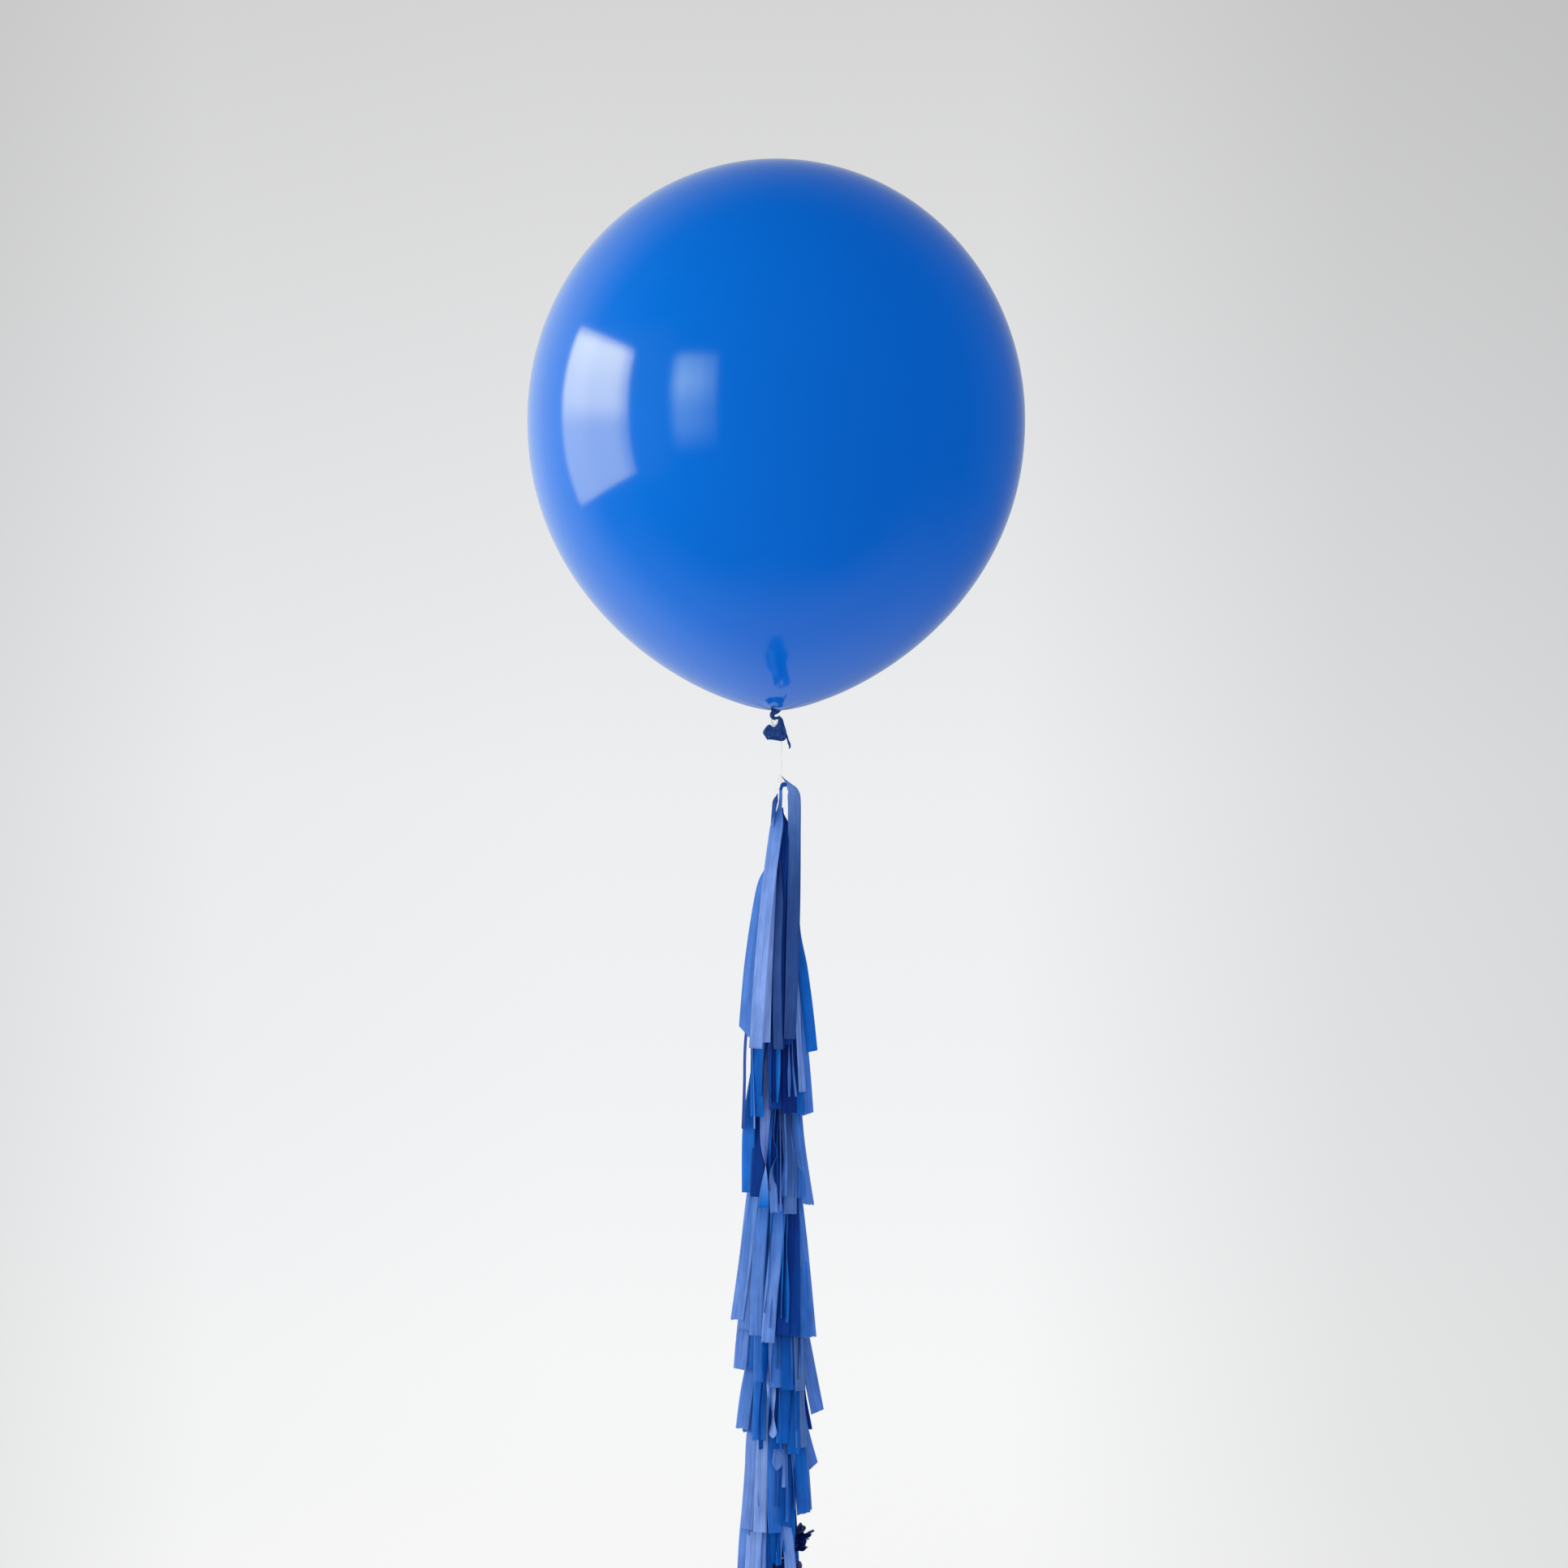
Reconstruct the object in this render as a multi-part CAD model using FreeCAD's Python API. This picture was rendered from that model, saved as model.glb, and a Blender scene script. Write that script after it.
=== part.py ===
import FreeCAD, Part

import math
import os

from FreeCAD import Vector

# A giant round latex balloon, filled with helium and tied at the neck.  A clear
# nylon line is tied round the neck and runs straight down through eight tissue
# paper tassels to a foil wrapped weight on the floor.
# Millimetres, +Z up.  The origin is the centre of the balloon's widest section.

# Balloon envelope
BALLOON_RADIUS = 447.0
CROWN_HEIGHT = 464.0        # widest section to the top
LOWER_DEPTH = 521.0         # widest section to the knot
LOWER_POWER = 2.13          # the lower half is slimmer than an ellipse
LOWER_EXPONENT = 0.65
LATEX_WALL = 1.0
MOUTH_RADIUS = 9.0
MOUTH_LENGTH = 3.0
STEM_RADIUS = 5.0
PROFILE_STEPS = 14

# Knot and the flattened end of the neck below it
KNOT_RING_RADIUS = 5.2
KNOT_ROLL_RADIUS = 4.0
KNOT_DROP = 4.5             # mouth plane to the middle of the knot's roll
KNOT_X = -2.0
PLUG_LENGTH = 6.0
LINK_RADIUS = 3.5
STEM_TOP_DROP = 14.0
STEM_BOTTOM_DROP = 24.0
FLAP_FRONT = -8.4
FLAP_THICKNESS = 1.4
FLAP_TOP_DROP = 20.0
FLAP_HEIGHT = 33.0
# Front view from the top edge clockwise: x, and height above the lowest point.
FLAP_OUTLINE = (
    (-3.0, FLAP_HEIGHT),
    (3.0, FLAP_HEIGHT),
    (10.0, 19.0),
    (10.0, 4.0),
    (-6.0, 0.0),
    (-24.0, 2.0),
    (-33.0, 9.0),
    (-26.0, 20.0),
)
LIP_RADIUS = 2.2
LIP_START = (-24.0, 2.0)
LIP_CORNER = (10.0, 5.0)
LIP_END_LENGTH = 24.0
LIP_END_LEAN = 5.0

# Line
LINE_X = 9.0                # the neck bends aside, so the line hangs beside the axis
LINE_RADIUS = 0.5
HITCH_TURNS = 3
HITCH_DROP = 18.0
HITCH_PITCH = 1.1
KNOT_BEAD_RADIUS = 2.2
BEAD_GAP = 0.8
LINE_GAP = 0.4

# Tassels
FIRST_TASSEL_Z = -639.5
# How far each tassel is tied below the first: by hand, so unevenly.
TASSEL_DROPS = (0.0, 123.0, 281.0, 515.0, 610.0, 727.0, 848.0, 961.0)
TASSEL_LENGTH = 480.0
COLLAR_HEIGHT = 28.0
COLLAR_TOP_RADIUS = 3.6
COLLAR_LOW_RADIUS = 6.0
COLLAR_BORE_CLEARANCE = 0.08
TIE_RADIUS = 1.6
STRIP_COUNT = 10
STRIP_WIDTH = 24.0
STRIP_TOP_WIDTH = 2.6
STRIP_TAPER_LENGTH = 240.0
STRIP_THICKNESS = 0.4
STRIP_TOP_RADIUS = 4.9
STRIP_INSET = 3.0           # how far a strip's top is twisted into the collar
CONE_SLOPE = 0.14           # the strips spread by this much for each unit of drop
LENGTH_STEP = 6.0
LENGTH_VARIANTS = 5
TASSEL_TURN = 13.0          # degrees from one tassel to the next

# Weight
FLOOR_Z = -2112.0
CORE_RADIUS = 36.0
CORE_HEIGHT = 50.0
FOIL_WALL = 0.8
FOIL_CLEARANCE = 0.4
FOIL_SHOULDER_HEIGHT = 10.0
FOIL_NECK_RADIUS = 7.0
FOIL_NECK_HEIGHT = 8.0
FOIL_TIE_RADIUS = 0.9
PETAL_COUNT = 8
PETAL_LENGTH = 76.0
PETAL_TOP_WIDTH = 27.0
PETAL_LOW_WIDTH = 4.6
PETAL_LEAN = 21.0
PETAL_THICKNESS = 0.8
PETAL_SEAT = 1.0            # how far a petal starts below the neck's top
END_KNOT_RADIUS = 2.0
END_KNOT_SEAT = 0.4

Z_AXIS = Vector(0, 0, 1)
ORIGIN = Vector(0, 0, 0)
FULL_TURN = 360.0

MOUTH_Z = -LOWER_DEPTH - MOUTH_LENGTH
STEM_BOTTOM_Z = MOUTH_Z - STEM_BOTTOM_DROP
HITCH_KNOT_Z = STEM_BOTTOM_Z - BEAD_GAP - KNOT_BEAD_RADIUS
LINE_TOP_Z = HITCH_KNOT_Z - KNOT_BEAD_RADIUS - LINE_GAP
FOIL_OUTER_RADIUS = CORE_RADIUS + FOIL_CLEARANCE + FOIL_WALL
FOIL_SIDE_TOP_Z = FLOOR_Z + FOIL_WALL + CORE_HEIGHT + FOIL_CLEARANCE
FOIL_NECK_LOW_Z = FOIL_SIDE_TOP_Z + FOIL_SHOULDER_HEIGHT
FOIL_NECK_TOP_Z = FOIL_NECK_LOW_Z + FOIL_NECK_HEIGHT
END_KNOT_Z = FOIL_NECK_TOP_Z + END_KNOT_RADIUS - END_KNOT_SEAT
LINE_BOTTOM_Z = END_KNOT_Z + END_KNOT_RADIUS + LINE_GAP


def save(name, shape, x=0.0):
    """Writes one node.  What hangs below the neck is made about the Z axis and moved to x."""
    shape = shape.copy()
    shape.translate(Vector(x, 0, 0))
    if not shape.isValid():
        raise ValueError(name + " is not a valid solid")
    shape.exportStep("parts/" + name + ".step")
    print(name, round(shape.Volume, 1), len(shape.Solids))


def revolve(edges):
    face = Part.Face(Part.Wire(edges))
    return face.revolve(ORIGIN, Z_AXIS, FULL_TURN)


def line(start, end):
    return Part.LineSegment(Vector(*start), Vector(*end)).toShape()


def plate(outline, thickness):
    """A flat plate from an outline of (x, z) points, thickened towards +Y."""
    points = [Vector(x, 0, z) for x, z in outline]
    face = Part.Face(Part.makePolygon(points + points[:1]))
    return face.extrude(Vector(0, thickness, 0))


def upper_edge(radius, height):
    """A quarter of an ellipse from the widest section to the crown."""
    steps = [math.pi / 2 * i / PROFILE_STEPS for i in range(PROFILE_STEPS + 1)]
    points = [Vector(radius * math.cos(a), 0, height * math.sin(a)) for a in steps]
    points[-1] = Vector(0, 0, height)
    curve = Part.BSplineCurve()
    curve.interpolate(Points=points, InitialTangent=Vector(0, 0, 1), FinalTangent=Vector(-1, 0, 0))
    return curve.toShape()


def lower_point(radius, depth, end_radius, fraction):
    """A point on the lower half; fraction runs from the widest section to the mouth."""
    end_depth = (1 - (end_radius / radius) ** (1 / LOWER_EXPONENT)) ** (1 / LOWER_POWER)
    share = end_depth * math.sin(math.pi / 2 * fraction)
    reach = (1 - share ** LOWER_POWER) ** LOWER_EXPONENT
    return Vector(radius * reach, 0, -depth * share)


def lower_edge(radius, depth, end_radius):
    points = [
        lower_point(radius, depth, end_radius, i / PROFILE_STEPS)
        for i in range(PROFILE_STEPS + 1)
    ]
    curve = Part.BSplineCurve()
    curve.interpolate(Points=points)
    return curve.toShape(), points[-1]


def balloon_envelope():
    inner_radius = BALLOON_RADIUS - LATEX_WALL
    inner_crown = CROWN_HEIGHT - LATEX_WALL
    inner_depth = LOWER_DEPTH - LATEX_WALL
    outer_low, outer_end = lower_edge(BALLOON_RADIUS, LOWER_DEPTH, MOUTH_RADIUS)
    inner_low, inner_end = lower_edge(inner_radius, inner_depth, STEM_RADIUS)
    edges = [
        upper_edge(BALLOON_RADIUS, CROWN_HEIGHT),
        outer_low,
        line(outer_end, (MOUTH_RADIUS, 0, MOUTH_Z)),
        line((MOUTH_RADIUS, 0, MOUTH_Z), (STEM_RADIUS, 0, MOUTH_Z)),
        line((STEM_RADIUS, 0, MOUTH_Z), inner_end),
        inner_low,
        upper_edge(inner_radius, inner_crown),
        line((0, 0, inner_crown), (0, 0, CROWN_HEIGHT)),
    ]
    return revolve(Part.__sortEdges__(edges))


def neck_knot():
    """The rolled knot under the mouth, and the neck drawn aside from it to the line."""
    plug = Part.makeCylinder(STEM_RADIUS, PLUG_LENGTH, Vector(0, 0, MOUTH_Z - PLUG_LENGTH / 2))
    roll = Part.makeTorus(
        KNOT_RING_RADIUS, KNOT_ROLL_RADIUS, Vector(KNOT_X, 0, MOUTH_Z - KNOT_DROP)
    )
    stem_top = Vector(LINE_X, 0, MOUTH_Z - STEM_TOP_DROP)
    stem = Part.makeCylinder(STEM_RADIUS, STEM_BOTTOM_DROP - STEM_TOP_DROP,
                             Vector(LINE_X, 0, STEM_BOTTOM_Z))
    link_start = Vector(0, 0, MOUTH_Z)
    link = Part.makeCylinder(
        LINK_RADIUS, (stem_top - link_start).Length, link_start, stem_top - link_start
    )
    shoulder = Part.makeSphere(STEM_RADIUS, stem_top)
    return plug.fuse([roll, link, shoulder, stem]).removeSplitter()


def neck_flap():
    """The flattened end of the neck: a heart shaped flap hanging below the knot."""
    low = MOUTH_Z - FLAP_TOP_DROP - FLAP_HEIGHT
    flap = plate([(x, low + height) for x, height in FLAP_OUTLINE], FLAP_THICKNESS)
    flap.translate(Vector(0, FLAP_FRONT, 0))
    return flap


def rolled_lip():
    """The rolled rim of the mouth, flattened along the flap's edge; one end hangs."""
    low = MOUTH_Z - FLAP_TOP_DROP - FLAP_HEIGHT
    middle_y = FLAP_FRONT + FLAP_THICKNESS / 2
    start = Vector(LIP_START[0], middle_y, low + LIP_START[1])
    corner = Vector(LIP_CORNER[0], middle_y, low + LIP_CORNER[1])
    end = corner + Vector(LIP_END_LEAN, 0, -LIP_END_LENGTH)
    rim = Part.makeCylinder(LIP_RADIUS, (corner - start).Length, start, corner - start)
    hanging = Part.makeCylinder(LIP_RADIUS, (end - corner).Length, corner, end - corner)
    elbow = Part.makeSphere(LIP_RADIUS, corner)
    return rim.fuse([hanging, elbow]).removeSplitter()


def line_hitch():
    turns = []
    for i in range(HITCH_TURNS):
        z = MOUTH_Z - HITCH_DROP - i * HITCH_PITCH
        turns.append(Part.makeTorus(STEM_RADIUS + LINE_RADIUS, LINE_RADIUS, Vector(0, 0, z)))
    return Part.makeCompound(turns)


def tether_line():
    return Part.makeCylinder(
        LINE_RADIUS, LINE_TOP_Z - LINE_BOTTOM_Z, Vector(0, 0, LINE_BOTTOM_Z)
    )


def tassel_collar(head_z):
    """The twisted paper head, bored for the line."""
    low = Vector(0, 0, head_z - COLLAR_HEIGHT)
    body = Part.makeCone(COLLAR_LOW_RADIUS, COLLAR_TOP_RADIUS, COLLAR_HEIGHT, low)
    bore = Part.makeCylinder(LINE_RADIUS + COLLAR_BORE_CLEARANCE, COLLAR_HEIGHT, low)
    return body.cut(bore)


def tassel_tie(head_z):
    """The knot in the line that the tassel rests on."""
    return Part.makeSphere(TIE_RADIUS, Vector(0, 0, head_z - COLLAR_HEIGHT - LINE_GAP - TIE_RADIUS))


def tassel_strips(head_z, number):
    """Strips of tissue, gathered at the collar and spread on a slender cone."""
    lean = math.degrees(math.atan(CONE_SLOPE))
    full_length = (TASSEL_LENGTH - COLLAR_HEIGHT + STRIP_INSET) / math.cos(math.radians(lean))
    strips = []
    for k in range(STRIP_COUNT):
        length = full_length - LENGTH_STEP * ((3 * k + number) % LENGTH_VARIANTS)
        outline = [
            (-STRIP_TOP_WIDTH / 2, 0),
            (STRIP_TOP_WIDTH / 2, 0),
            (STRIP_WIDTH / 2, -STRIP_TAPER_LENGTH),
            (STRIP_WIDTH / 2, -length),
            (-STRIP_WIDTH / 2, -length),
            (-STRIP_WIDTH / 2, -STRIP_TAPER_LENGTH),
        ]
        strip = plate(outline, STRIP_THICKNESS)
        strip.rotate(ORIGIN, Vector(1, 0, 0), lean)
        strip.translate(Vector(0, STRIP_TOP_RADIUS, head_z - COLLAR_HEIGHT + STRIP_INSET))
        strip.rotate(ORIGIN, Z_AXIS, FULL_TURN * k / STRIP_COUNT + TASSEL_TURN * number)
        strips.append(strip)
    return Part.makeCompound(strips)


def weight_core():
    return Part.makeCylinder(CORE_RADIUS, CORE_HEIGHT, Vector(0, 0, FLOOR_Z + FOIL_WALL))


def weight_foil():
    """The wrap: a closed cup round the core, drawn in to a solid gathered neck."""
    inner_radius = CORE_RADIUS + FOIL_CLEARANCE
    inner_top = FOIL_SIDE_TOP_Z - FOIL_WALL + FOIL_CLEARANCE
    outline = [
        (0, FLOOR_Z),
        (FOIL_OUTER_RADIUS, FLOOR_Z),
        (FOIL_OUTER_RADIUS, FOIL_SIDE_TOP_Z),
        (FOIL_NECK_RADIUS, FOIL_NECK_LOW_Z),
        (FOIL_NECK_RADIUS, FOIL_NECK_TOP_Z),
        (0, FOIL_NECK_TOP_Z),
        (0, FOIL_NECK_LOW_Z - FOIL_WALL),
        (inner_radius, inner_top),
        (inner_radius, FLOOR_Z + FOIL_WALL),
        (0, FLOOR_Z + FOIL_WALL),
    ]
    points = [Vector(x, 0, z) for x, z in outline]
    return revolve(Part.makePolygon(points + points[:1]).Edges)


def weight_tie():
    z = (FOIL_NECK_LOW_Z + FOIL_NECK_TOP_Z) / 2
    return Part.makeTorus(FOIL_NECK_RADIUS + FOIL_TIE_RADIUS, FOIL_TIE_RADIUS, Vector(0, 0, z))


def weight_ruffle():
    """Foil petals fanned out above the tie."""
    outline = [
        (-PETAL_LOW_WIDTH / 2, 0),
        (PETAL_LOW_WIDTH / 2, 0),
        (PETAL_TOP_WIDTH / 2, PETAL_LENGTH),
        (-PETAL_TOP_WIDTH / 2, PETAL_LENGTH),
    ]
    petals = []
    for k in range(PETAL_COUNT):
        petal = plate(outline, PETAL_THICKNESS)
        petal.rotate(ORIGIN, Vector(1, 0, 0), -PETAL_LEAN)
        petal.translate(Vector(0, FOIL_NECK_RADIUS - PETAL_THICKNESS, FOIL_NECK_TOP_Z - PETAL_SEAT))
        petal.rotate(ORIGIN, Z_AXIS, FULL_TURN * k / PETAL_COUNT)
        petals.append(petal)
    return Part.makeCompound(petals)


def knot_bead(radius, z):
    return Part.makeSphere(radius, Vector(0, 0, z))


os.makedirs("parts", exist_ok=True)

save("balloon_envelope", balloon_envelope())
save("neck_knot", neck_knot())
save("neck_flap", neck_flap(), LINE_X)
save("rolled_lip", rolled_lip(), LINE_X)
save("line_hitch", line_hitch(), LINE_X)
save("hitch_knot", knot_bead(KNOT_BEAD_RADIUS, HITCH_KNOT_Z), LINE_X)
save("tether_line", tether_line(), LINE_X)

for n, drop in enumerate(TASSEL_DROPS, 1):
    head = FIRST_TASSEL_Z - drop
    save("tassel_%d_collar" % n, tassel_collar(head), LINE_X)
    save("tassel_%d_tie" % n, tassel_tie(head), LINE_X)
    save("tassel_%d_strips" % n, tassel_strips(head, n), LINE_X)

save("weight_core", weight_core(), LINE_X)
save("weight_foil", weight_foil(), LINE_X)
save("weight_tie", weight_tie(), LINE_X)
save("weight_ruffle", weight_ruffle(), LINE_X)
save("weight_line_knot", knot_bead(END_KNOT_RADIUS, END_KNOT_Z), LINE_X)
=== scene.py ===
"""A giant round latex balloon on a clear line, with a tail of tissue tassels and a foil weight."""

import math
import random

import bpy
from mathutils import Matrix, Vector, noise


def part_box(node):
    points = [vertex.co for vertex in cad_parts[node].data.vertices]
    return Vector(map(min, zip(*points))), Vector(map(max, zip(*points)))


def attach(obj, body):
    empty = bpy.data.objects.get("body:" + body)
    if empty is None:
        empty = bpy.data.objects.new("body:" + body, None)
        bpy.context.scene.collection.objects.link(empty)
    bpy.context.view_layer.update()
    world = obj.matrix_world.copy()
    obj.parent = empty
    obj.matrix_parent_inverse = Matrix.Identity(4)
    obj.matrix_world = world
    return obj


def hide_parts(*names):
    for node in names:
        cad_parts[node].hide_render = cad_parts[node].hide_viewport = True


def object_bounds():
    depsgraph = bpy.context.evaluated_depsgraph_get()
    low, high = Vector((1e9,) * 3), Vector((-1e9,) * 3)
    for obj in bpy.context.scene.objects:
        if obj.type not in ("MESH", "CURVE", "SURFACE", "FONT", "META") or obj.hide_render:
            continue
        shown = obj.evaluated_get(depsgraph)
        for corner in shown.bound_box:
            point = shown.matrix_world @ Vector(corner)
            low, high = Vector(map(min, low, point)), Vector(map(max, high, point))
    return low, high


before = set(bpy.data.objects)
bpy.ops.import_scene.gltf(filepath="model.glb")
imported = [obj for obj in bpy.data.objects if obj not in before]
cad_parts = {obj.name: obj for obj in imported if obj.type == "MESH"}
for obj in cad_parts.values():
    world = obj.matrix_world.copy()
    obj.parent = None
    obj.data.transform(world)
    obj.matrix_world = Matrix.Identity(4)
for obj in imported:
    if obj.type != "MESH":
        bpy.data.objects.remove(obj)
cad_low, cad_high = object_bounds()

MM = 0.001


def box_middle(node):
    low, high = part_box(node)
    return (Vector(low) + Vector(high)) / 2


# Places, from the frame
LINE_X = box_middle("tether_line").x
FLOOR_Z = cad_low.z
CROWN_Z = cad_high.z
BALLOON_RADIUS = cad_high.x
MOUTH_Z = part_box("balloon_envelope")[0].z
TASSELS = range(1, 1 + sum(name.endswith("_collar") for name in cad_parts))

# The line's route, the same points as its CAD solid's ends and its middle
LINE_ROUTE = [(0.009, 0.0, -0.5536), (0.009, 0.0, -1.2962), (0.009, 0.0, -2.0388)]
LINE_DIAMETER = 0.001
FILM_THICKNESS = 0.0003     # of the tissue and the foil, thick enough to have two sides

# Camera: level, 1.46 m above the floor and 5 m in front of the balloon
CAMERA_DISTANCE = 5.0
CAMERA_X = 0.0139
CAMERA_HEIGHT = 1.459
FRAME_HEIGHT = 2.827        # what the frame's height covers at the balloon
SENSOR = 36.0


# ---------------------------------------------------------------- mesh helpers

def new_object(name, mesh):
    obj = bpy.data.objects.new(name, mesh)
    bpy.context.scene.collection.objects.link(obj)
    return obj


def mesh_object(name, verts, faces, material):
    mesh = bpy.data.meshes.new(name)
    mesh.from_pydata(verts, [], faces)
    mesh.validate()
    mesh.materials.append(material)
    mesh.polygons.foreach_set("use_smooth", [True] * len(mesh.polygons))
    mesh.update()
    return new_object(name, mesh)


def place(obj, body, node):
    """Rides the piece on its body, and hides the CAD node it stands for."""
    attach(obj, body)
    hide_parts(node)


def smoothstep(low, high, x):
    t = min(1.0, max(0.0, (x - low) / (high - low)))
    return t * t * (3 - 2 * t)


def curve_value(stations, t):
    """A Catmull-Rom curve through equally spaced stations, t from 0 to 1."""
    last = len(stations) - 1
    i = min(int(t * last), last - 1)
    f = t * last - i
    a, b, c, d = (stations[min(max(i + k, 0), last)] for k in (-1, 0, 1, 2))
    scalar = isinstance(b, (int, float))
    if scalar:
        a, b, c, d = ((v,) for v in (a, b, c, d))
    out = [
        0.5 * (2 * q + (r - p) * f + (2 * p - 5 * q + 4 * r - s) * f * f
               + (3 * q - p - 3 * r + s) * f ** 3)
        for p, q, r, s in zip(a, b, c, d)
    ]
    return out[0] if scalar else out


def sample(stations, count, scale=1.0):
    """Evenly spaced values of the curve, each times scale."""
    values = [curve_value(stations, k / (count - 1)) for k in range(count)]
    return values if scale == 1.0 else [scale * value for value in values]


def in_metres(points, origin):
    """Points in millimetres from origin, as places in the frame."""
    return [tuple(o + c * MM for o, c in zip(origin, p)) for p in points]


def turn_of(k, steps):
    """The angle of step k when steps make a full turn."""
    return 2 * math.pi * k / steps


def polar(radius, angle, z, x=0.0):
    """A point round the upright axis through (x, 0)."""
    return (x + radius * math.cos(angle), radius * math.sin(angle), z)


def heading(points, j):
    """The direction of a path at its point j."""
    return (points[min(j + 1, len(points) - 1)] - points[max(j - 1, 0)]).normalized()


def disc_faces(around, rings):
    """Faces of a disc: vertex 0 is its middle, and each ring has around vertices."""
    faces = [(0, 1 + i, 1 + (i + 1) % around) for i in range(around)]
    for ring in range(rings - 1):
        for i in range(around):
            a = 1 + ring * around + i
            b = 1 + ring * around + (i + 1) % around
            faces.append((a, a + around, b + around, b))
    return faces


class Builder:
    """Gathers vertices and faces, with a tone and fibre coordinates for each vertex."""

    def __init__(self):
        self.verts = []
        self.faces = []
        self.tones = []
        self.runs = []
        self.cut_width = 0.0

    def grid(self, rows, tone=0.0, run=None, caps=True):
        """Joins rings of points into a skin; run gives the fibre coordinates of a point."""
        start = len(self.verts)
        wide = len(rows[0])
        for j, row in enumerate(rows):
            for i, point in enumerate(row):
                self.verts.append(tuple(point))
                self.tones.append(tone)
                self.runs.append(run(i, j) if run else (i, j))
        for j in range(len(rows) - 1):
            for i in range(wide):
                a = start + j * wide + i
                b = start + j * wide + (i + 1) % wide
                self.faces.append((a, b, b + wide, a + wide))
        if caps:
            self.faces.append(tuple(reversed(range(start, start + wide))))
            end = start + (len(rows) - 1) * wide
            self.faces.append(tuple(range(end, end + wide)))

    def tube(self, points, radii, sides, tone=0.0, lobes=0, lobe_depth=0.0, squash=1.0):
        """A swept tube.  lobes give it lengthwise pleats; squash flattens it front to back."""
        points = [Vector(p) for p in points]
        rows = []
        normal = None
        for j, point in enumerate(points):
            tangent = heading(points, j)
            if normal is None:
                normal = Vector((0, 1, 0)) if abs(tangent.y) < 0.9 else Vector((1, 0, 0))
            normal = (normal - tangent * normal.dot(tangent)).normalized()
            side = tangent.cross(normal)
            radius = radii[j] if hasattr(radii, "__len__") else radii
            row = []
            for i in range(sides):
                a = turn_of(i, sides)
                r = radius * (1 + lobe_depth * math.cos(lobes * a + 0.35 * j))
                row.append(point + normal * (r * math.cos(a) * squash) + side * (r * math.sin(a)))
            rows.append(row)
        self.grid(rows, tone)

    def bend(self, stations, radii, origin, count, sides, **shape):
        """A tube along a smooth curve, in millimetres from origin."""
        self.tube(in_metres(sample(stations, count), origin), sample(radii, count, MM), sides, **shape)

    def ribbon(self, centres, across, normals, half_widths, tones, cup, cut, ragged, seed):
        """A thin closed strip: cup bows it across, cut slants its free end, ragged tears it."""
        columns = 8
        lengths = [0.0]
        for j in range(1, len(centres)):
            lengths.append(lengths[-1] + (centres[j] - centres[j - 1]).length)
        width = max(half_widths)
        rows = []
        for j, centre in enumerate(centres):
            front = []
            back = []
            down = heading(centres, j)
            near_end = smoothstep(lengths[-1] - 2.5 * width, lengths[-1], lengths[j])
            for i in range(columns + 1):
                u = 2 * i / columns - 1
                bow = cup * half_widths[j] * (1 - u * u)
                slant = near_end * cut * u
                tear = near_end ** 3 * ragged * noise.noise(Vector((u * 4, seed, 0.5)))
                point = centre + across[j] * (u * half_widths[j]) + normals[j] * bow
                point += down * (slant * half_widths[j] + tear)
                front.append(point + normals[j] * (FILM_THICKNESS / 2))
                back.append(point - normals[j] * (FILM_THICKNESS / 2))
            rows.append(front + back[::-1])

        def run(i, j):
            column = i if i <= columns else 2 * columns + 1 - i
            return ((2 * column / columns - 1) * width + seed, lengths[j] + seed)

        start = len(self.verts)
        self.grid(rows, 0.0, run, caps=False)
        wide = 2 * (columns + 1)
        for j in range(len(rows)):
            self.tones[start + j * wide:start + (j + 1) * wide] = [tones[j]] * wide
        for j, flip in ((0, True), (len(rows) - 1, False)):
            base = start + j * wide
            for i in range(columns):
                quad = (base + i, base + i + 1, base + wide - 2 - i, base + wide - 1 - i)
                self.faces.append(quad[::-1] if flip else quad)

    def make(self, name, material):
        obj = mesh_object(name, self.verts, self.faces, material)
        mesh = obj.data
        tone = mesh.attributes.new("tone", "FLOAT", "POINT")
        tone.data.foreach_set("value", self.tones)
        runs = mesh.attributes.new("fibre", "FLOAT_VECTOR", "POINT")
        runs.data.foreach_set("vector", [c for u, v in self.runs for c in (u, v, 0.0)])
        return obj


# ---------------------------------------------------------------- material helpers

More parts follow.
